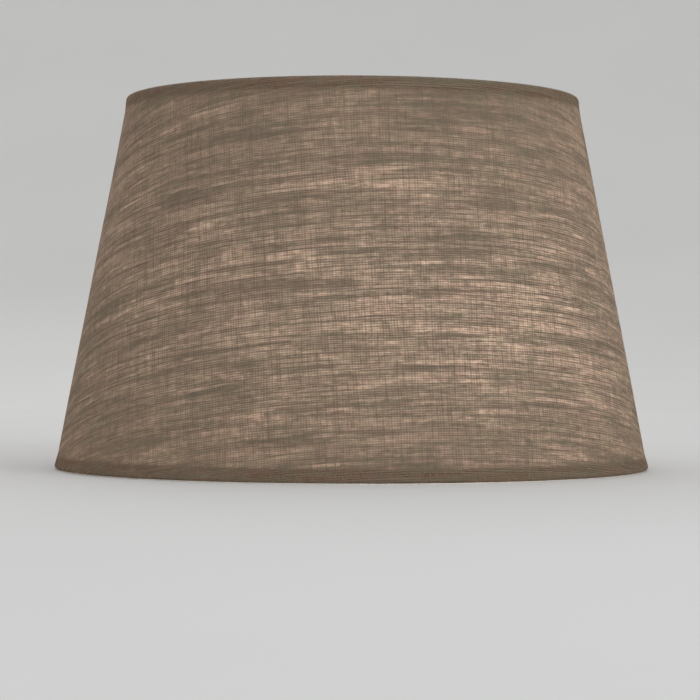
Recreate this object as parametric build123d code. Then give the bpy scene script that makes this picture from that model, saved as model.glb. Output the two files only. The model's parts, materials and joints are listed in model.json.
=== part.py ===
from build123d import *
import os
from math import acos, atan2, cos, hypot, pi, sin

# A tapered drum lamp shade: linen stuck to a clear plastic film, rolled over two
# wire rings, with a fitter ring carried on three wire arms from the bottom ring.
#
# The origin is the centre of the bottom rim, on the surface that the shade
# stands on. +Z is up, along the axis. The lapped seam is at the back, on +Y.
# All sizes are in millimetres.

# Overall size, over the linen
bottom_diameter = 450.0
top_diameter = 344.0
height = 280.0

# Sheets
linen_thickness = 0.6
film_thickness = 0.4
film_edge_to_ring_centre = 2.6
tape_thickness = 0.25
glue_line = 0.05

# Rolled edges: the linen goes round each ring and is tucked up inside the film
bead_stand_proud = 0.8
flare_length = 10.0
tuck_start = 4.0
hem_length = 8.0
hem_bend_radius = 2.0

# Tape that holds each hem to the film
hem_tape_start = 4.4
hem_tape_width = 3.4

# Lapped seam down the back
lap_width = 12.0
lap_edge_margin = 12.0
seam_tape_width = 9.0
seam_tape_end_room = 1.0

# Wire frame
ring_wire = 3.0
arm_wire = 3.0
arm_count = 3
first_arm_angle = 90.0
arm_rise_at_ring = 0.8
arm_sink_at_ring = 0.6
arm_level_at_ring = 14.0
arm_bend_radius = 8.0
arm_slit_width = 4.6
arm_slit_depth = 1.1
arm_slit_past_hem = 2.0

# Fitter ring for an E27 lamp holder
fitter_bore = 42.0
fitter_outer_diameter = 58.0
fitter_plate = 1.2
fitter_height = 40.0
fitter_collar_height = 5.6
fitter_bend_radius = 1.2
weld_sink = 0.3
arm_end_radius = 24.5
arm_level_at_fitter = 12.0

# Worked out from the sizes above
wrap_radius = ring_wire / 2 + glue_line + linen_thickness / 2
bead_radius = wrap_radius + linen_thickness / 2
bottom_ring_radius = bottom_diameter / 2 - bead_radius
top_ring_radius = top_diameter / 2 - bead_radius
bottom_ring_z = bead_radius
top_ring_z = height - bead_radius

# Offsets from the line between the two ring centres, positive outwards
wall_outside = bead_radius - bead_stand_proud
wall_middle = wall_outside - linen_thickness / 2
film_outside = wall_outside - linen_thickness - glue_line
film_inside = film_outside - film_thickness
hem_tape_outside = film_inside - glue_line
hem_tape_inside = hem_tape_outside - tape_thickness
hem_middle = hem_tape_inside - glue_line - linen_thickness / 2

# The same line's length and direction, in the plane of radius and height
slant_run = top_ring_radius - bottom_ring_radius
slant_rise = top_ring_z - bottom_ring_z
slant_length = hypot(slant_run, slant_rise)
up_slope = (slant_run / slant_length, slant_rise / slant_length)
outward = (up_slope[1], -up_slope[0])

# Each ring's place up the slope, and the way that the wall goes from it
bottom_place = (0.0, 1)
top_place = (slant_length, -1)


def wall_point(along, offset):
    """A point of the section, by its distance up the slope and its offset outwards."""
    radius = bottom_ring_radius + along * up_slope[0] + offset * outward[0]
    z = bottom_ring_z + along * up_slope[1] + offset * outward[1]
    return Vector(radius, 0, z)


def wall_strip(start, end, inside, outside):
    """A straight strip of the section, between two distances up the slope."""
    corners = [(start, inside), (end, inside), (end, outside), (start, outside)]
    return make_face(Polyline(*[wall_point(*corner) for corner in corners], close=True))


def near_ring(ring, along, offset):
    """A point of the section, by its distance from a ring's centre along the wall."""
    ring_along, direction = ring
    return wall_point(ring_along + direction * along, offset)


def round_ring(ring, radius, angle):
    """A point round a ring's centre. Angle 0 is along the wall and 90 degrees outwards."""
    return near_ring(ring, radius * cos(angle), radius * sin(angle))


def rolled_edge(ring):
    """The linen's middle line from the wall, round one ring, to the end of the hem."""

    def on_wrap(angle):
        return round_ring(ring, wrap_radius, angle)

    def touch_angle(along, offset, side):
        """Where a line from this point touches the wrap, on the given side."""
        spread = acos(wrap_radius / hypot(along, offset))
        return atan2(offset, along) + side * spread

    outer_touch = touch_angle(flare_length, wall_middle, 1)
    inner_touch = touch_angle(tuck_start, hem_middle, -1)
    flare = Line(near_ring(ring, flare_length, wall_middle), on_wrap(outer_touch))
    wrap = ThreePointArc(on_wrap(outer_touch), on_wrap(pi), on_wrap(inner_touch))
    tuck = FilletPolyline(
        on_wrap(inner_touch),
        near_ring(ring, tuck_start, hem_middle),
        near_ring(ring, hem_length, hem_middle),
        radius=hem_bend_radius,
    )
    return [flare, wrap, tuck]


def thick_line(edges, thickness):
    """A face of even thickness about a line in the plane of radius and height.

    It reaches half the thickness past each end of the line.
    """
    line = Wire([edge for part in edges for edge in part.edges()])
    flat_line = line.rotate(Axis.X, -90)
    band = make_face(offset(flat_line, thickness / 2, kind=Kind.TANGENT, side=Side.BOTH).edges())
    return band.rotate(Axis.X, 90)


def turned(section):
    """A section turned once round the shade's axis."""
    return revolve(section, Axis.Z, 360.0)


def back_band(shape, low_x, high_x):
    """The part of a turned shape between two planes at the back."""
    reach = bottom_diameter
    slab = Pos((low_x + high_x) / 2, reach / 2, height / 2) * Box(high_x - low_x, reach, 2 * height)
    return shape & slab


def wire_ring(radius, z, wire_radius):
    """A closed ring of round wire about the axis."""
    return Pos(0, 0, z) * Torus(radius, wire_radius)


def arm_angles():
    """The arms' directions about the axis, from +X."""
    return [first_arm_angle + number * 360.0 / arm_count for number in range(arm_count)]


def make_fitter_ring():
    """A pressed ring: a flat flange with a collar turned up round the bore."""
    half_plate = fitter_plate / 2
    collar_middle = fitter_bore / 2 + half_plate
    flange_middle = fitter_height + half_plate
    section_line = FilletPolyline(
        (fitter_outer_diameter / 2 - half_plate, 0, flange_middle),
        (collar_middle, 0, flange_middle),
        (collar_middle, 0, fitter_height + fitter_collar_height - half_plate),
        radius=fitter_bend_radius,
    )
    return turned(thick_line([section_line], fitter_plate))


def make_arm():
    """One arm along +X: level from the bottom ring, up a slope, level under the fitter."""
    ring_end_z = bottom_ring_z + arm_rise_at_ring
    ring_end_radius = bottom_ring_radius - ring_wire / 2 + arm_sink_at_ring
    fitter_end_z = fitter_height - arm_wire / 2 + weld_sink
    route = FilletPolyline(
        (ring_end_radius, 0, ring_end_z),
        (bottom_ring_radius - arm_level_at_ring, 0, ring_end_z),
        (arm_end_radius + arm_level_at_fitter, 0, fitter_end_z),
        (arm_end_radius, 0, fitter_end_z),
        radius=arm_bend_radius,
    )
    start_plane = Plane(origin=route @ 0, z_dir=route % 0)
    return sweep(start_plane * Circle(arm_wire / 2), path=route)


def arm_slit():
    """The slit in the rolled edge that one arm, along +X, comes through."""
    slit_end = hem_length + arm_slit_past_hem
    section = wall_strip(-arm_slit_depth, slit_end, -hem_length, film_inside)
    return extrude(section, arm_slit_width / 2, both=True)


def make_linen_cover():
    """The linen: the wall with both edges rolled and tucked in, and the lapped seam."""
    wall = Line(
        wall_point(flare_length, wall_middle),
        wall_point(slant_length - flare_length, wall_middle),
    )
    edges = [wall] + rolled_edge(bottom_place) + rolled_edge(top_place)
    cover = turned(thick_line(edges, linen_thickness))

    lap_rise = tape_thickness + glue_line + film_thickness + linen_thickness
    lap_section = wall_strip(
        lap_edge_margin,
        slant_length - lap_edge_margin,
        wall_middle,
        wall_outside + lap_rise,
    )
    cover += back_band(turned(lap_section), -lap_width / 2, lap_width / 2)

    pocket_section = wall_strip(
        lap_edge_margin - seam_tape_end_room,
        slant_length - lap_edge_margin + seam_tape_end_room,
        wall_outside,
        wall_outside + tape_thickness + 2 * glue_line,
    )
    pocket_start = lap_width / 2 - seam_tape_width - glue_line
    return cover - back_band(turned(pocket_section), pocket_start, lap_width)


def make_seam_tape():
    """The double-sided tape that holds the lap down."""
    section = wall_strip(
        lap_edge_margin,
        slant_length - lap_edge_margin,
        wall_outside + glue_line,
        wall_outside + glue_line + tape_thickness,
    )
    start = lap_width / 2 - seam_tape_width
    return back_band(turned(section), start, lap_width / 2 - glue_line)


def make_hem_tape(ring):
    """The double-sided tape between one hem and the film."""
    ring_along, direction = ring
    start = ring_along + direction * hem_tape_start
    end = start + direction * hem_tape_width
    return turned(wall_strip(start, end, hem_tape_inside, hem_tape_outside))


def save(shape, node):
    """Write one node's solid."""
    export_step(shape, f"parts/{node}.step")


os.makedirs("parts", exist_ok=True)

top_ring = wire_ring(top_ring_radius, top_ring_z, ring_wire / 2)
bottom_ring = wire_ring(bottom_ring_radius, bottom_ring_z, ring_wire / 2)
fitter_ring = make_fitter_ring()
fitter_arm = make_arm() - bottom_ring - fitter_ring
film_section = wall_strip(
    film_edge_to_ring_centre,
    slant_length - film_edge_to_ring_centre,
    film_inside,
    film_outside,
)
backing_film = turned(film_section)

linen_cover = make_linen_cover()
for angle in arm_angles():
    linen_cover -= arm_slit().rotate(Axis.Z, angle)

save(linen_cover, "linen_cover")
save(backing_film, "backing_film")
save(make_seam_tape(), "seam_tape")
save(make_hem_tape(top_place), "top_hem_tape")
save(make_hem_tape(bottom_place), "bottom_hem_tape")
save(top_ring, "top_ring")
save(bottom_ring, "bottom_ring")
save(fitter_ring, "fitter_ring")
for number, angle in enumerate(arm_angles(), start=1):
    save(fitter_arm.rotate(Axis.Z, angle), f"fitter_arm_{number}")
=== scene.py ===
import json
from math import acos, atan2, cos, hypot, pi, radians, sin

import bmesh
import bpy
from bpy.props import FloatProperty, FloatVectorProperty, IntProperty, PointerProperty
from mathutils import Matrix, Vector, noise


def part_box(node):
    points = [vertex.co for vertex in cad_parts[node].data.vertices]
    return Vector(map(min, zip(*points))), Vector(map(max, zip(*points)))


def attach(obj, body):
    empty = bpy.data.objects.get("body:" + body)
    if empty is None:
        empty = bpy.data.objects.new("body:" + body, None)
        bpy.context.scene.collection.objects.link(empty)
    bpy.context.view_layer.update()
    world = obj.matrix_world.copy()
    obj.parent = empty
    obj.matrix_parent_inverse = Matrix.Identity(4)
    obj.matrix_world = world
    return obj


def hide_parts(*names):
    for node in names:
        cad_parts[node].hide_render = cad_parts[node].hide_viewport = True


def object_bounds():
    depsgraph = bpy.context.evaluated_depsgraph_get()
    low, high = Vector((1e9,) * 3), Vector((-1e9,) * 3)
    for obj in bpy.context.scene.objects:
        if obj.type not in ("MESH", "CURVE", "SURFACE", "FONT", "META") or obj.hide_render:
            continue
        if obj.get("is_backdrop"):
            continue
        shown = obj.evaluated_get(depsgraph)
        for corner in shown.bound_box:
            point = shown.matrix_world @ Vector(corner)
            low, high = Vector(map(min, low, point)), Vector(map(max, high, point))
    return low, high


bl_info = {
    "name": "Linen Lamp Shade",
    "version": (1, 0, 0),
    "blender": (4, 5, 0),
    "location": "View3D > Sidebar > Lamp Shade",
    "description": "Builds a tapered linen lamp shade round its wire frame",
    "category": "Add Mesh",
}

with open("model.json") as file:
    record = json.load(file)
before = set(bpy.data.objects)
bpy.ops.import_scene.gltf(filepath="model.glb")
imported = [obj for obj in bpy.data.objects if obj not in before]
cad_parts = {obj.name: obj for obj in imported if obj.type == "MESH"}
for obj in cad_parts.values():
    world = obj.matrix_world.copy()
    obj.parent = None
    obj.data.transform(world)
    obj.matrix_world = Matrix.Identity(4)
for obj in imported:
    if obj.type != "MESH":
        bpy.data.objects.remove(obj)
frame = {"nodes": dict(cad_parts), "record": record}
cad_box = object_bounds()

BODY = "root"
CLOTH_MAP = "cloth"
FRONT = -pi / 2
BACK = pi / 2
ARMS = ("fitter_arm_1", "fitter_arm_2", "fitter_arm_3")
TAPES = ("seam_tape", "top_hem_tape", "bottom_hem_tape")

# Metres: the unevenness of a rolled edge, how far a slit cuts past the bottom ring's centre and
# how far up it may reach, and the film's start inside the linen's free edge
BEAD_RIPPLE = 0.00012
SLIT_PAST_RING = 0.0012
SLIT_REACH = 0.05
FILM_INSET = 0.0001

# Angles: how far to the right of the camera's side the bulb leans, and the camera's small turns
# off a level aim at the axis
LEAN_TURN = radians(30.0)
CAMERA_YAW = 0.0007
CAMERA_TILT = -0.0016
CAMERA_ROLL = 0.003


# Sizes and colours


def length(name, description, default, soft_max=0.1):
    """A length in metres."""
    return FloatProperty(
        name=name,
        description=description,
        default=default,
        min=0.0,
        soft_max=soft_max,
        precision=5,
        subtype="DISTANCE",
        unit="LENGTH",
    )


def share(name, description, default):
    """A share from 0 to 1."""
    return FloatProperty(
        name=name, description=description, default=default, min=0.0, max=1.0, subtype="FACTOR"
    )


def power(name, description, default):
    """A light's power in watts."""
    return FloatProperty(name=name, description=description, default=default, min=0.0, unit="POWER")


def colour(name, description, default):
    """A linear colour."""
    return FloatVectorProperty(
        name=name, description=description, default=default, size=3, min=0.0, max=1.0, subtype="COLOR"
    )


class LinenSettings(bpy.types.PropertyGroup):
    """The linen cover's sizes and colours."""

    thickness: length("Thickness", "Thickness of the linen", 0.0006)
    stand_proud: length("Bead", "How far the rolled edges stand proud of the wall", 0.0008)
    flare: length("Flare", "Length over which the wall runs out to a rolled edge", 0.010)
    tuck: length("Tuck", "Distance from a ring to where the hem meets the film", 0.004)
    hem: length("Hem", "Distance from a ring to the hem's raw edge", 0.008)
    fold: length("Fold", "Width of linen folded under at the seam's free edge", 0.007)
    slit: length("Slit", "Width of the slits that the arms come through", 0.0046)
    sway: length("Sway", "How far the wall wanders from a true cone", 0.00025)
    columns: IntProperty(name="Columns", description="Steps round the shade", default=396, min=60)
    warp_pitch: length("Warp pitch", "Distance between upright threads", 0.0020)
    weft_pitch: length("Weft pitch", "Distance between threads that run round", 0.0016)
    flax: colour("Flax", "Colour of most threads", (0.305, 0.245, 0.165))
    clay: colour("Clay", "Colour of the pinkish threads", (0.325, 0.220, 0.165))
    slub: colour("Slub", "Colour of the thick, dense threads", (0.212, 0.170, 0.122))
    glow: colour("Glow", "Colour of the light that comes through", (0.90, 0.78, 0.70))
    open_weave: share("Open weave", "How much light the gaps let through", 0.81)


class LiningSettings(bpy.types.PropertyGroup):
    """The stiff film inside the linen, and the tape that joins them."""

    thickness: length("Thickness", "Thickness of the film", 0.0004)
    glue: length("Glue", "Thickness of each line of glue", 0.00005)
    tape: length("Tape", "Thickness of the double-sided tape", 0.00025)
    lap: length("Lap", "Width of the lapped seam", 0.012)
    ease: length("Ease", "Distance over which the lap sinks back to the wall", 0.025)
    tint: colour("Tint", "Colour of the film", (0.78, 0.76, 0.70))
    milkiness: share("Milkiness", "How much the film hides what is behind it", 0.15)
    roughness: share("Roughness", "Roughness of the film's surface", 0.32)
    tape_tint: colour("Tape tint", "Colour of the tape", (0.72, 0.69, 0.60))


class WireSettings(bpy.types.PropertyGroup):
    """The powder-coated rings, arms and fitter ring."""

    coat: colour("Coat", "Colour of the powder coat", (0.78, 0.78, 0.75))
    steel: colour("Steel", "Colour of the steel where the coat is worn", (0.42, 0.41, 0.39))
    weld: length("Weld", "How far a weld spreads from the wire", 0.0009)


class StageSettings(bpy.types.PropertyGroup):
    """The floor, the lights and the camera."""

    floor: colour("Floor", "Colour of the floor and backdrop", (0.80, 0.79, 0.77))
    camera_distance: length("Camera distance", "Camera's distance from the axis", 1.8357, 5.0)
    camera_height: length("Camera height", "Camera's height over the bottom rim", 0.0923, 2.0)
    lens: FloatProperty(
        name="Lens", description="Focal length in millimetres", default=123.55, min=10.0
    )
    window_power: power("Window", "Power of the wide light on the right", 12.2)
    back_power: power("Back", "Power of the wide light behind", 6.0)
    bulb_power: power("Bulb", "Power of the bulb inside the shade", 0.76)
    bulb_height: length("Bulb height", "Height of the bulb's light over the rim", 0.100, 0.3)
    bulb_lean: length("Bulb lean", "How far the bulb's light is from the axis", 0.075)
    room_light: FloatProperty(
        name="Room light", description="Strength of the light from all round", default=0.70, min=0.0
    )
    turn: FloatProperty(
        name="Camera turn",
        description="Camera's direction about the axis, from the front",
        default=radians(-17.0),
        subtype="ANGLE",
        unit="ROTATION",
    )


class ShadeSettings(bpy.types.PropertyGroup):
    """All the settings of the lamp shade."""

    linen: PointerProperty(type=LinenSettings)
    lining: PointerProperty(type=LiningSettings)
    wire: PointerProperty(type=WireSettings)
    stage: PointerProperty(type=StageSettings)


# Materials


class Socket:
    """A node's output for use in Python expressions. Each operation adds a Math node."""

    def __init__(self, finish, output):
        self.finish = finish
        self.output = output

    def pick(self, name):
        """Another output of the same node."""
        return Socket(self.finish, self.output.node.outputs[name])

    def __add__(self, other):
        return self.finish.math("ADD", self, other)

    def __sub__(self, other):
        return self.finish.math("SUBTRACT", self, other)

    def __rsub__(self, other):
        return self.finish.math("SUBTRACT", other, self)

    def __mul__(self, other):
        return self.finish.math("MULTIPLY", self, other)

    def __truediv__(self, other):
        return self.finish.math("DIVIDE", self, other)

    __radd__ = __add__
    __rmul__ = __mul__


class Finish:
    """A material that is being put together from nodes."""

    def __init__(self, name):
        self.material = bpy.data.materials.new(name)
        self.material.use_nodes = True
        self.tree = self.material.node_tree
        self.tree.nodes.clear()

    def add(self, kind, settings, values, output=0):
        """Adds a node: its settings first, then the values or links of its sockets."""
        node = self.tree.nodes.new(kind)
        for name, value in settings.items():
            setattr(node, name, value)
        for key, value in values.items():
            if isinstance(value, Socket):
                self.tree.links.new(value.output, node.inputs[key])
            else:
                node.inputs[key].default_value = value
        return Socket(self, node.outputs[output]) if node.outputs else None

    def math(self, operation, *values):
        """One Math node."""
        return self.add("ShaderNodeMath", {"operation": operation}, dict(enumerate(values)))

    def clamp(self, value):
        """A value held between 0 and 1."""
        return self.add("ShaderNodeClamp", {}, {"Value": value})

    def mix(self, factor, first, second):
        """A blend of two colours."""
        values = {0: factor, 6: first, 7: second}
        return self.add("ShaderNodeMix", {"data_type": "RGBA"}, values, output=2)

    def ramp(self, value, low, high, start=0.0, end=1.0):
        """A smooth step from start to end as value goes from low to high."""
        settings = {"interpolation_type": "SMOOTHSTEP"}
        values = {0: value, 1: low, 2: high, 3: start, 4: end}
        return self.add("ShaderNodeMapRange", settings, values)

    def noise(self, x, y, z, detail=1.0):
        """Noise at a point whose coordinates are sockets or numbers."""
        point = self.add("ShaderNodeCombineXYZ", {}, {"X": x, "Y": y, "Z": z})
        return self.add("ShaderNodeTexNoise", {}, {"Vector": point, "Scale": 1.0, "Detail": detail})

    def object_noise(self, scale, detail=2.0):
        """Noise in the object's own coordinates."""
        place = self.add("ShaderNodeTexCoord", {}, {}, output="Object")
        values = {"Vector": place, "Scale": scale, "Detail": detail}
        return self.add("ShaderNodeTexNoise", {}, values)

    def bump(self, height, distance, strength=1.0):
        """A normal from a height."""
        values = {"Height": height, "Distance": distance, "Strength": strength}
        return self.add("ShaderNodeBump", {}, values)

    def principled(self, values):
        """A Principled shader."""
        return self.add("ShaderNodeBsdfPrincipled", {}, values)

    def done(self, shader):
        """Joins the shader to the output and gives the finished material."""
        self.add("ShaderNodeOutputMaterial", {}, {"Surface": shader})
        return self.material


def solid(values, strength=1.0):
    """A colour with full alpha, darkened to a share of its strength."""
    return (*(part * strength for part in values), 1.0)


def linen_finish(linen):
    """Plain-woven slub linen, drawn on the flat cloth, with a lamp's light coming through."""
    finish = Finish("linen")
    cloth = finish.add("ShaderNodeUVMap", {"uv_map": CLOTH_MAP}, {})
    across = finish.add("ShaderNodeSeparateXYZ", {}, {"Vector": cloth}, output="X")
    down = across.pick("Y")

    # Each thread's number, and the distance from its middle line, with the threads wandering
    warp_wander = finish.noise(across * 25.0, down * 30.0, 1.7) - 0.5
    weft_wander = finish.noise(across * 12.0, down * 70.0, 8.3) - 0.5
    warp = across / linen.warp_pitch + warp_wander * 1.6
    weft = down / linen.weft_pitch + weft_wander * 2.0
    warp_number = finish.math("FLOOR", warp)
    weft_number = finish.math("FLOOR", weft)
    from_warp = finish.math("ABSOLUTE", warp - warp_number - 0.5) * 2.0
    from_weft = finish.math("ABSOLUTE", weft - weft_number - 0.5) * 2.0

    # How heavy and how pale each thread is along its length
    weft_girth = finish.noise(across * 15.0, weft_number * 5.17, 3.1, detail=5.0)
    warp_girth = finish.noise(warp_number * 5.17, down * 34.0, 6.4, detail=4.0)
    weft_weight = finish.clamp(0.5 + (weft_girth - 0.5) * 3.9)
    warp_weight = finish.clamp(0.5 + (warp_girth - 0.5) * 3.0)
    pale = finish.ramp(finish.noise(across * 18.0, weft_number * 3.71, 12.8, detail=3.0), 0.55, 0.70)

    # Slubs that run over several threads, wide patches, and fine fibres both ways
    band = finish.ramp(finish.noise(across * 17.0, down * 230.0, 5.5, detail=4.0), 0.53, 0.66)
    patch = finish.noise(across * 10.0, down * 26.0, 9.2, detail=3.0) - 0.5
    weft_fibre = finish.noise(across * 150.0, down * 900.0, 4.4, detail=2.0) - 0.5
    warp_fibre = finish.noise(across * 650.0, down * 130.0, 1.2, detail=2.0) - 0.5
    fibre = weft_fibre * 1.3 + warp_fibre * 0.7

    # How much of its own strip each thread covers, and the gaps between the threads
    soft = 0.28
    weft_half = 0.36 + weft_weight * 0.44
    warp_half = 0.28 + warp_weight * 0.40
    weft_cover = finish.ramp(from_weft, weft_half + soft, weft_half - soft)
    warp_cover = finish.ramp(from_warp, warp_half + soft, warp_half - soft)
    painted_gap_shade = (1.0 - weft_cover) * (1.0 - warp_cover * 0.5)

    # Colour of the threads, with painted shade in the gaps between them
    hue = finish.noise(across * 40.0, down * 260.0, 2.6, detail=3.0)
    tone = 0.42 + band * 0.26 + patch * 0.5 + fibre
    tone = tone + (weft_weight - 0.5) * 0.30 + (warp_weight - 0.5) * 0.20
    tone = finish.clamp(tone * (1.0 - pale * 0.75))
    fresh = finish.mix(finish.ramp(hue, 0.40, 0.60), solid(linen.flax), solid(linen.clay))
    thread = finish.mix(tone, fresh, solid(linen.slub))
    # Painted shade: the gaps between the threads are darkened towards half-strength slub colour
    face = finish.mix(painted_gap_shade * 0.25, thread, solid(linen.slub, 0.5))

    # Relief, with each thread over one crossing and under the next
    crossing = finish.math("SINE", warp * pi) * finish.math("SINE", weft * pi)
    weft_height = (1.0 - from_weft * from_weft) * (0.62 + crossing * 0.38)
    warp_height = (1.0 - from_warp * from_warp) * (0.62 - crossing * 0.38)
    height = finish.math("MAXIMUM", weft_height, warp_height) + weft_weight * 0.4 + band * 0.6
    normal = finish.bump(height, 0.00025, 0.45)

    # Light that comes through, least where heavy threads cross
    through_weft = 1.0 - weft_cover * (0.34 + weft_weight * 0.54)
    through_warp = 1.0 - warp_cover * (0.15 + warp_weight * 0.34)
    passing = linen.open_weave * through_weft * through_warp * (1.0 - band * 0.42)
    passing = finish.clamp(passing * (0.92 + pale * 0.42 - patch * 0.45) * (1.0 - fibre * 1.4))

    surface = finish.principled(
        {
            "Base Color": face,
            "Roughness": 0.92,
            "Specular IOR Level": 0.08,
            "Normal": normal,
        }
    )
    glow = {"Color": solid(linen.glow), "Normal": normal}
    through = finish.add("ShaderNodeBsdfTranslucent", {}, glow)
    values = {0: passing, 1: surface, 2: through}
    return finish.done(finish.add("ShaderNodeMixShader", {}, values))


def film_finish(lining):
    """Satin film, slightly milky, with a faint ripple from the linen under it."""
    finish = Finish("film")
    ripple = finish.object_noise(70.0)
    haze = finish.object_noise(9.0)
    smooth, dull = lining.roughness * 0.8, lining.roughness * 1.25
    surface = finish.principled(
        {
            "Base Color": solid(lining.tint),
            "Roughness": finish.ramp(haze, 0.3, 0.7, smooth, dull),
            "IOR": 1.46,
            "Alpha": lining.milkiness,
            "Normal": finish.bump(ripple, 0.0004, 0.5),
        }
    )
    return finish.done(surface)


def tape_finish(lining):
    """Clear double-sided tape with small wrinkles."""
    finish = Finish("tape")
    wrinkle = finish.object_noise(260.0)
    surface = finish.principled(
        {
            "Base Color": solid(lining.tape_tint),
            "Roughness": finish.ramp(wrinkle, 0.3, 0.7, 0.25, 0.45),
            "Alpha": 0.6,
            "Normal": finish.bump(wrinkle, 0.0001, 0.5),
        }
    )
    return finish.done(surface)


def coat_finish(name, wire, worn_radius=0.0):
    """White powder coat on steel. Inside worn_radius, holders have rubbed it off in places."""
    finish = Finish(name)
    peel = finish.object_noise(1400.0)
    patch = finish.object_noise(35.0, detail=4.0)
    dusty = finish.ramp(patch, 0.3, 0.7, 0.0, 0.5)
    coat = finish.mix(dusty, solid(wire.coat), solid(wire.coat, 0.84))
    values = {
        "Base Color": coat,
        "Roughness": finish.ramp(patch, 0.3, 0.7, 0.34, 0.48),
        "Normal": finish.bump(peel, 0.00005, 0.5),
        "Coat Weight": 0.15,
    }
    if worn_radius:
        place = finish.add("ShaderNodeTexCoord", {}, {}, output="Object")
        split = finish.add("ShaderNodeSeparateXYZ", {}, {"Vector": place}, output="X")
        side = split.pick("Y")
        radius = finish.math("SQRT", split * split + side * side)
        scratch = finish.object_noise(420.0, detail=4.0)
        near = finish.ramp(radius, worn_radius + 0.0012, worn_radius)
        worn = near * finish.ramp(scratch, 0.52, 0.72)
        values["Base Color"] = finish.mix(worn, coat, solid(wire.steel))
        values["Metallic"] = worn
    return finish.done(finish.principled(values))


def backdrop_finish(stage):
    """Matt pale paper."""
    finish = Finish("backdrop")
    mottle = finish.ramp(finish.object_noise(3.0), 0.3, 0.7)
    tone = finish.mix(mottle, solid(stage.floor), solid(stage.floor, 0.985))
    return finish.done(finish.principled({"Base Color": tone, "Roughness": 0.85}))


# The section and the rolled sheets


def spread(start, end, steps):
    """Evenly spaced values from start to end, both included."""
    return [start + (end - start) * step / steps for step in range(steps + 1)]


def ease(value, low, high):
    """A smooth step from 0 to 1 as value goes from low to high."""
    part = min(max((value - low) / (high - low), 0.0), 1.0)
    return part * part * (3 - 2 * part)


def ring_centre(node):
    """A wire ring's wire radius, and its centre in the plane of radius and height."""
    low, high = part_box(node)
    wire = (high.z - low.z) / 2
    return wire, Vector((high.x - wire, high.z - wire))


class Section:
    """The shade's section, in distance up the slope from the bottom ring and offset outwards."""

    def __init__(self, linen, lining):
        wire, self.bottom = ring_centre("bottom_ring")
        top = ring_centre("top_ring")[1]
        self.slant = (top - self.bottom).length
        self.up = (top - self.bottom).normalized()
        self.out = Vector((self.up.y, -self.up.x))
        half = linen.thickness / 2
        self.wrap = wire + lining.glue + half
        self.wall = self.wrap - linen.stand_proud
        self.film = self.wall - half - lining.glue - lining.thickness / 2
        self.hem = self.film - lining.thickness / 2 - lining.tape - 2 * lining.glue - half
        film_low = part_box("backing_film")[0].z
        self.film_end = (film_low - self.bottom.y - self.film * self.out.y) / self.up.y
        self.linen = linen

    def flat_place(self, point):
        """A section point as radius and height."""
        return self.bottom + self.up * point.x + self.out * point.y

    def place(self, point, angle):
        """The point in space of a section point, at an angle about the axis."""
        radius, z = self.flat_place(point)
        return Vector((radius * cos(angle), radius * sin(angle), z))

    def rolled_edge(self):
        """The linen's middle line near a ring, from the wall to the hem's raw edge."""
        linen = self.linen

        def touch(along, offset, side):
            return atan2(offset, along) + side * acos(self.wrap / hypot(along, offset))

        first = touch(linen.flare, self.wall, 1)
        last = touch(linen.tuck, self.hem, -1) + 2 * pi
        wrap = [self.wrap * Vector((cos(turn), sin(turn))) for turn in spread(first, last, 14)]
        start = Vector((linen.flare, self.wall))
        flare = [start.lerp(wrap[0], part) for part in spread(0, 1, 5)[:-1]]
        corner = Vector((linen.tuck, self.hem))
        end = Vector((linen.hem, self.hem))
        tuck = [
            wrap[-1].lerp(corner, part).lerp(corner.lerp(end, part), part)
            for part in spread(0, 1, 5)[1:]
        ]
        return flare + wrap + tuck

    def linen_line(self):
        """The linen's middle line from the bottom hem, up the wall, to the top hem."""
        edge = self.rolled_edge()
        flare = self.linen.flare
        wall = [Vector((up, self.wall)) for up in spread(flare, self.slant - flare, 24)[1:-1]]
        top = [Vector((self.slant - point.x, point.y)) for point in edge]
        return edge[::-1] + wall + top

    def film_line(self):
        """The film's middle line, from its bottom edge to its top edge."""
        return [Vector((up, self.film)) for up in spread(self.film_end, self.slant - self.film_end, 24)]


class Row:
    """One row of points round the shade: a section point and what the lap does there."""

    def __init__(self, section, lining, point, before, after, travel):
        self.point = point
        self.travel = travel
        self.radius = section.flat_place(point).x
        way = (after - before).normalized()
        self.normal = Vector((-way.y, way.x))
        self.from_ring = min(point.x, section.slant - point.x)
        self.outside = point.y > 0
        linen = section.linen

        # Over the wall the lap lies on film, tape and a fold. Over the bead it is linen only,
        # which sinks back sooner.
        on_wall = ease(self.from_ring, -0.0015, 0.006) if self.outside else 0.0
        bead_lift = linen.thickness + lining.glue
        wall_lift = lining.tape + 2 * lining.glue + lining.thickness + 2 * linen.thickness
        self.lift = bead_lift + (wall_lift - bead_lift) * on_wall
        self.ease = lining.ease * (0.2 + 0.8 * on_wall)

        # How free the wall is to wander, away from the rings, and the bead's own unevenness
        self.free = ease(self.from_ring, 0.004, 0.030) if self.outside else 0.0
        self.bead = 0.0 if on_wall > 0.9 else BEAD_RIPPLE

    def lift_at(self, from_free_edge, lap):
        """How far the lap lifts the sheet, by the distance from the lap's free edge."""
        return self.lift * (1 - ease(from_free_edge, lap, lap + self.ease))


class Column:
    """One column of points: a turn about the axis, a distance past it and a width folded under."""

    def __init__(self, turn, shift, under=0.0):
        self.turn = turn
        self.shift = shift
        self.under = under

    def angle(self, radius):
        """The column's angle where the sheet has this radius."""
        return self.turn + self.shift / radius

    def towards(self, other, part):
        """A column part of the way to another."""
        turn = self.turn + (other.turn - self.turn) * part
        return Column(turn, self.shift + (other.shift - self.shift) * part)


def arm_turns():
    """The arms' angles about the axis, in order from the back."""
    turns = []
    for arm in ARMS:
        low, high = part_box(arm)
        middle = (low + high) / 2

        # The 0.01 keeps an arm at the back first, whichever way its box is rounded
        from_back = (atan2(middle.y, middle.x) - BACK + 0.01) % (2 * pi) - 0.01
        turns.append(BACK + from_back)
    return sorted(turns)


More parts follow.
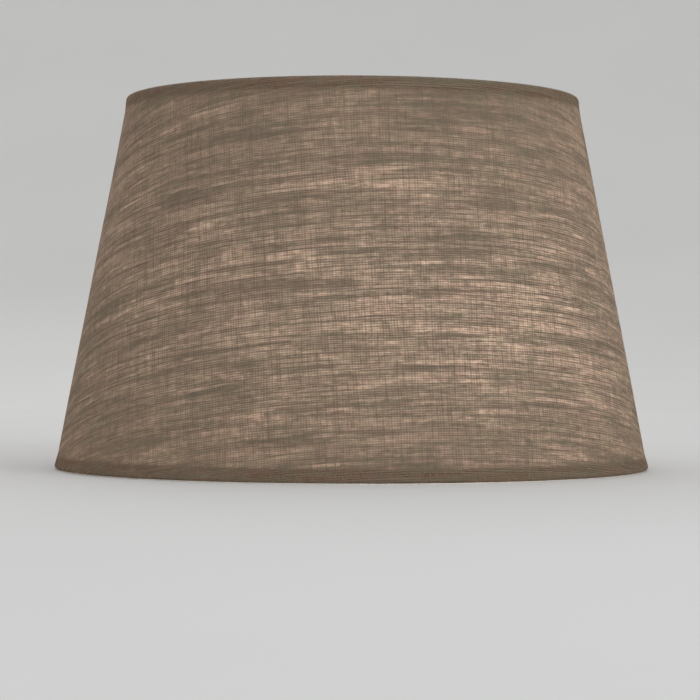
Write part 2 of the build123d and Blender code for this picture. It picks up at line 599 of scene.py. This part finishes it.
def sheet_columns(linen, lining, first_shift):
    """Columns from the lap's free edge, once round, to the end under the lap.

    Two columns stand at each side of each arm, so that a slit can be cut between them.
    """
    half_slit = linen.slit / 2
    stops = [Column(BACK, first_shift)]
    for turn in [*arm_turns(), BACK + 2 * pi]:
        stops += [Column(turn, -half_slit), Column(turn, half_slit)]
    stops.append(Column(BACK + 2 * pi, lining.lap / 2))
    columns = []
    for start, end in zip(stops, stops[1:]):
        steps = max(2, round((end.turn - start.turn) / (2 * pi) * linen.columns))
        columns += [start.towards(end, part) for part in spread(0, 1, steps)[:-1]]
    return columns + [stops[-1]]


def in_slit(first, second, linen):
    """Whether the cloth between two neighbouring columns is inside an arm's slit."""
    reach = linen.slit / 2 * 1.001
    near = abs(first.shift) <= reach and abs(second.shift) <= reach
    return near and abs(first.turn - second.turn) < 1e-6


class RolledSheet:
    """A flat sheet rolled into the shade and lapped at the back, which remembers its flat cut."""

    def __init__(self, section, lining, line, columns):
        self.section = section
        self.lining = lining
        self.columns = columns
        self.bend = (lining.thickness + 2 * lining.glue + section.linen.thickness) / 2
        self.rows = []
        travel = 0.0
        for index, point in enumerate(line):
            before = line[max(index - 1, 0)]
            after = line[min(index + 1, len(line) - 1)]
            travel += (point - before).length
            self.rows.append(Row(section, lining, point, before, after, travel))
        self.taper = -section.up.x
        self.middle = self.rows[len(self.rows) // 2]
        self.apex = self.middle.radius / self.taper + self.middle.travel

    def cloth(self, row, column):
        """A point's place on the flat sheet."""
        reach = self.apex - row.travel
        from_front = column.angle(row.radius) - FRONT - 2 * pi
        swing = from_front * self.taper - column.under / reach
        return Vector((reach * sin(swing), -reach * cos(swing)))

    def place(self, row, column):
        """A point's place on the finished shade."""
        lap = self.lining.lap
        angle = column.angle(row.radius)
        lift = row.lift_at((angle - BACK) * row.radius + lap / 2, lap)
        if column.under:
            swing = min(column.under / self.bend, pi)
            back = max(column.under - pi * self.bend, 0.0)
            angle += (back - self.bend * sin(swing)) / row.radius
            lift -= self.bend * (1 - cos(swing))
        ripple = Vector((cos(angle), sin(angle), row.point.x * 6))
        lift += self.section.linen.sway * row.free * noise.noise(ripple * 2.5)
        lift += row.bead * (0.5 + 0.5 * noise.noise(ripple * 21.0))
        return self.section.place(row.point + row.normal * lift, angle)

    def build(self, name, thickness, is_cut_away):
        """Makes the sheet's object, less the cells of its grid that are cut away."""
        mesh = bmesh.new()
        across = len(self.columns)
        segments = {"x_segments": across - 1, "y_segments": len(self.rows) - 1}
        bmesh.ops.create_grid(mesh, size=0.5, **segments)
        flat = mesh.loops.layers.uv.new(CLOTH_MAP)
        waste = []
        for face in mesh.faces:
            for loop in face.loops:
                row, column = divmod(loop.vert.index, across)
                loop[flat].uv = self.cloth(self.rows[row], self.columns[column])
            row, column = divmod(min(vert.index for vert in face.verts), across)
            if is_cut_away(self.rows[row : row + 2], self.columns[column : column + 2]):
                waste.append(face)
        for vert in mesh.verts:
            row, column = divmod(vert.index, across)
            vert.co = self.place(self.rows[row], self.columns[column])
        bmesh.ops.delete(mesh, geom=waste, context="FACES")
        piece = add_piece(name, mesh)
        solidify = piece.modifiers.new("Thickness", "SOLIDIFY")
        solidify.thickness = thickness
        solidify.offset = 0.0
        return piece

    def flat_cut(self):
        """The width and length of the rectangle that the sheet is cut from, and its own area."""
        inner = self.apex - self.rows[-1].travel
        first, last = (self.columns[end].angle(self.middle.radius) for end in (0, -1))
        swing = (last - first) * self.taper
        width = 2 * self.apex * sin(swing / 2)
        long = self.apex - inner * cos(swing / 2)
        return (width, long), swing * (self.apex**2 - inner**2) / 2


# Pieces


def add_piece(name, mesh):
    """Makes a smooth-shaded object from a bmesh."""
    data = bpy.data.meshes.new(name)
    mesh.to_mesh(data)
    mesh.free()
    data.shade_smooth()
    piece = bpy.data.objects.new(name, data)
    bpy.context.scene.collection.objects.link(piece)
    return piece


def dress(piece, material):
    """Gives a piece its only material."""
    piece.data.materials.clear()
    piece.data.materials.append(material)


def add_linen_cover(settings):
    """The linen: wall, rolled edges, hems, lap and slits in one sheet."""
    linen, lining = settings.linen, settings.lining
    section = Section(linen, lining)
    sheet = RolledSheet(section, lining, section.linen_line(), [])
    round_fold = pi * sheet.bend
    under = spread(linen.fold, round_fold, 3) + spread(round_fold, 0, 6)[1:-1]
    sheet.columns = [Column(BACK, -lining.lap / 2, width) for width in under]
    sheet.columns += sheet_columns(linen, lining, -lining.lap / 2)

    def is_cut_away(rows, pair):
        if pair[0].under:
            return any(row.from_ring < linen.flare * 0.99 or not row.outside for row in rows)
        near_bottom = all(-SLIT_PAST_RING < row.point.x < SLIT_REACH for row in rows)
        on_hem = not any(row.outside for row in rows)
        return near_bottom and on_hem and in_slit(*pair, linen)

    piece = sheet.build("linen_cover_cloth", linen.thickness, is_cut_away)
    dress(piece, linen_finish(linen))
    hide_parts("linen_cover")
    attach(piece, BODY)
    flat, area = sheet.flat_cut()


def add_backing_film(settings):
    """The stiff film that the linen is stuck to, lapped in the same way."""
    linen, lining = settings.linen, settings.lining
    section = Section(linen, lining)
    columns = sheet_columns(linen, lining, FILM_INSET - lining.lap / 2)
    sheet = RolledSheet(section, lining, section.film_line(), columns)
    for row in sheet.rows:
        row.lift = sheet.middle.lift
        row.ease = sheet.middle.ease
        row.bead = 0.0
    piece = sheet.build("backing_film_sheet", lining.thickness, lambda rows, pair: False)
    dress(piece, film_finish(lining))
    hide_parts("backing_film")
    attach(piece, BODY)
    flat, area = sheet.flat_cut()


def spun(mesh, profile, centre, axis, steps=20):
    """Spins a profile of (distance along the axis, radius) once round the axis."""
    side = axis.orthogonal().normalized()
    verts = [mesh.verts.new(centre + axis * along + side * out) for along, out in profile]
    edges = [mesh.edges.new(pair) for pair in zip(verts, verts[1:])]
    whole_turn = {"angle": 2 * pi, "steps": steps, "use_merge": True}
    bmesh.ops.spin(mesh, geom=verts + edges, cent=centre, axis=axis, **whole_turn)
    bmesh.ops.remove_doubles(mesh, verts=mesh.verts, dist=1e-6)
    bmesh.ops.recalc_face_normals(mesh, faces=mesh.faces)


def add_welds(settings):
    """The small weld beads at both ends of each arm."""
    spread_out = settings.wire.weld
    ring_wire, ring = ring_centre("bottom_ring")
    low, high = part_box(ARMS[0])
    fitter_low, fitter_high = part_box("fitter_ring")
    wire = (high.x - low.x) / 2
    reach = wire + spread_out
    ring_end = Vector((0, ring.x - ring_wire * 0.7, low.z + wire))
    fitter_end = Vector((0, (low.y + fitter_high.y) / 2, fitter_low.z))

    # Each bead's profile: distance out in wire radii, and radius as a share of the bead's reach
    collar = [(-0.4, 0.0), (-0.3, 0.8), (0.2, 1.0), (0.8, 0.93), (1.4, 0.72), (1.9, 0.62), (2.1, 0.0)]
    puddle = [(-0.3, 0.0), (-0.3, 0.95), (0.1, 1.0), (0.6, 0.9), (1.1, 0.68), (1.5, 0.0)]
    mesh = bmesh.new()
    for profile, end, axis in ((collar, ring_end, (0, -1, 0)), (puddle, fitter_end, (0, 0, -1))):
        spun(mesh, [(along * wire, out * reach) for along, out in profile], end, Vector(axis))
    first = mesh.verts[:] + mesh.edges[:] + mesh.faces[:]
    for turn in arm_turns()[1:]:
        copy = bmesh.ops.duplicate(mesh, geom=first)["geom"]
        verts = [item for item in copy if isinstance(item, bmesh.types.BMVert)]
        matrix = Matrix.Rotation(turn - BACK, 3, "Z")
        bmesh.ops.rotate(mesh, cent=Vector(), matrix=matrix, verts=verts)
    for vert in mesh.verts:
        vert.co += vert.normal * noise.noise(vert.co * 900) * spread_out * 0.25
    return add_piece("arm_welds", mesh)


def finish_frame(settings):
    """Powder-coats the wire frame, adds its welds and finishes the tapes."""
    wire = settings.wire
    bore = frame["record"]["mounts"][0]["dims"]["r_mm"] / 1000
    coat = coat_finish("powder_coat", wire)
    for node in ("top_ring", "bottom_ring", *ARMS):
        dress(frame["nodes"][node], coat)
    dress(frame["nodes"]["fitter_ring"], coat_finish("fitter_coat", wire, bore))
    tape = tape_finish(settings.lining)
    for node in TAPES:
        dress(frame["nodes"][node], tape)
    welds = add_welds(settings)
    dress(welds, coat)
    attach(welds, BODY)


# Stage


def add_backdrop(stage):
    """A round floor under the shade's lowest point, which sweeps up into a wall."""
    flat, sweep_out, sweep_up = 2.0, 3.4, 2.2
    profile = [(0.0, 0.0), (0.0, flat / 2)]
    for turn in spread(0, pi / 2, 32):
        profile.append((sweep_up - sweep_up * cos(turn), flat + sweep_out * sin(turn)))
    middle = Vector((0, 0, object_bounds()[0][2]))
    mesh = bmesh.new()
    spun(mesh, profile, middle, Vector((0, 0, 1)), steps=96)
    if mesh.faces[0].normal.z < 0:
        bmesh.ops.reverse_faces(mesh, faces=mesh.faces)
    backdrop = add_piece("backdrop", mesh)
    dress(backdrop, backdrop_finish(stage))
    backdrop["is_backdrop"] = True


def add_light(name, kind, place, energy, tint, size):
    """A light aimed at the middle of the shade."""
    data = bpy.data.lights.new(name, kind)
    data.energy = energy
    data.color = tint
    if kind == "AREA":
        data.shape = "DISK"
        data.size = size
    else:
        data.shadow_soft_size = size
    light = bpy.data.objects.new(name, data)
    light.location = place
    middle = Vector((0, 0, (cad_box[0].z + cad_box[1].z) / 2))
    light.rotation_euler = (middle - light.location).to_track_quat("-Z", "Y").to_euler()
    light.visible_camera = False
    bpy.context.scene.collection.objects.link(light)


def add_lights(stage):
    """A wide light from the front right, a weaker one from behind, and a bulb that leans."""
    view = Matrix.Rotation(stage.turn, 3, "Z")
    right = view @ Vector((1.62, -1.62, 1.36))
    behind = view @ Vector((-0.6, 2.4, 1.8))
    lean = stage.bulb_lean * Vector((sin(LEAN_TURN), -cos(LEAN_TURN), 0))
    bulb = view @ lean + Vector((0, 0, stage.bulb_height))
    add_light("window", "AREA", right, stage.window_power, (0.90, 0.98, 1.0), 1.6)
    add_light("back", "AREA", behind, stage.back_power, (1.0, 1.0, 1.0), 1.8)
    add_light("bulb", "POINT", bulb, stage.bulb_power, (1.0, 1.0, 0.96), 0.03)
    world = bpy.data.worlds.new("pale_room")
    world.use_nodes = True
    background = world.node_tree.nodes["Background"]
    background.inputs["Color"].default_value = (0.97, 0.98, 1.0, 1.0)
    background.inputs["Strength"].default_value = stage.room_light
    bpy.context.scene.world = world


def add_camera(stage):
    """The camera, just over the bottom rim, with a small tilt and roll."""
    data = bpy.data.cameras.new("camera")
    data.lens = stage.lens
    camera = bpy.data.objects.new("camera", data)
    from_axis = Vector((0, -stage.camera_distance, stage.camera_height))
    place = Matrix.Translation(Matrix.Rotation(stage.turn, 4, "Z") @ from_axis)
    yaw = Matrix.Rotation(stage.turn + CAMERA_YAW, 4, "Z")
    tilt = Matrix.Rotation(pi / 2 + CAMERA_TILT, 4, "X")
    camera.matrix_world = place @ yaw @ tilt @ Matrix.Rotation(CAMERA_ROLL, 4, "Z")
    bpy.context.scene.collection.objects.link(camera)
    bpy.context.scene.camera = camera


# The add-on


class LAMPSHADE_OT_linen_cover(bpy.types.Operator):
    """Add the linen with its rolled edges and lapped seam"""

    bl_idname = "lampshade.linen_cover"
    bl_label = "Linen Cover"

    def execute(self, context):
        add_linen_cover(context.scene.lamp_shade)
        return {"FINISHED"}


class LAMPSHADE_OT_backing_film(bpy.types.Operator):
    """Add the stiff film inside the linen"""

    bl_idname = "lampshade.backing_film"
    bl_label = "Backing Film"

    def execute(self, context):
        add_backing_film(context.scene.lamp_shade)
        return {"FINISHED"}


class LAMPSHADE_OT_wire_frame(bpy.types.Operator):
    """Finish the rings, the arms, the fitter ring and the tapes"""

    bl_idname = "lampshade.wire_frame"
    bl_label = "Wire Frame"

    def execute(self, context):
        finish_frame(context.scene.lamp_shade)
        return {"FINISHED"}


class LAMPSHADE_OT_stage(bpy.types.Operator):
    """Set up the floor, the lights and the camera"""

    bl_idname = "lampshade.stage"
    bl_label = "Stage"

    def execute(self, context):
        stage = context.scene.lamp_shade.stage
        add_backdrop(stage)
        add_lights(stage)
        add_camera(stage)
        context.scene.view_settings.view_transform = "Standard"
        return {"FINISHED"}


OPERATORS = (
    LAMPSHADE_OT_linen_cover,
    LAMPSHADE_OT_backing_film,
    LAMPSHADE_OT_wire_frame,
    LAMPSHADE_OT_stage,
)


class LAMPSHADE_PT_panel(bpy.types.Panel):
    """The lamp shade's settings and steps"""

    bl_idname = "LAMPSHADE_PT_panel"
    bl_label = "Lamp Shade"
    bl_space_type = "VIEW_3D"
    bl_region_type = "UI"
    bl_category = "Lamp Shade"

    def draw(self, context):
        settings = context.scene.lamp_shade
        groups = (settings.linen, settings.lining, settings.wire, settings.stage)
        for operator, group in zip(OPERATORS, groups):
            box = self.layout.box()
            box.operator(operator.bl_idname)
            for name in type(group).__annotations__:
                box.prop(group, name)


CLASSES = (
    LinenSettings,
    LiningSettings,
    WireSettings,
    StageSettings,
    ShadeSettings,
    *OPERATORS,
    LAMPSHADE_PT_panel,
)


def register():
    for cls in CLASSES:
        bpy.utils.register_class(cls)
    bpy.types.Scene.lamp_shade = PointerProperty(type=ShadeSettings)


def unregister():
    del bpy.types.Scene.lamp_shade
    for cls in reversed(CLASSES):
        bpy.utils.unregister_class(cls)


def main():
    """Builds the whole shade and its stage."""
    register()
    bpy.ops.lampshade.linen_cover()
    bpy.ops.lampshade.backing_film()
    bpy.ops.lampshade.wire_frame()
    bpy.ops.lampshade.stage()


if __name__ == "__main__":
    main()
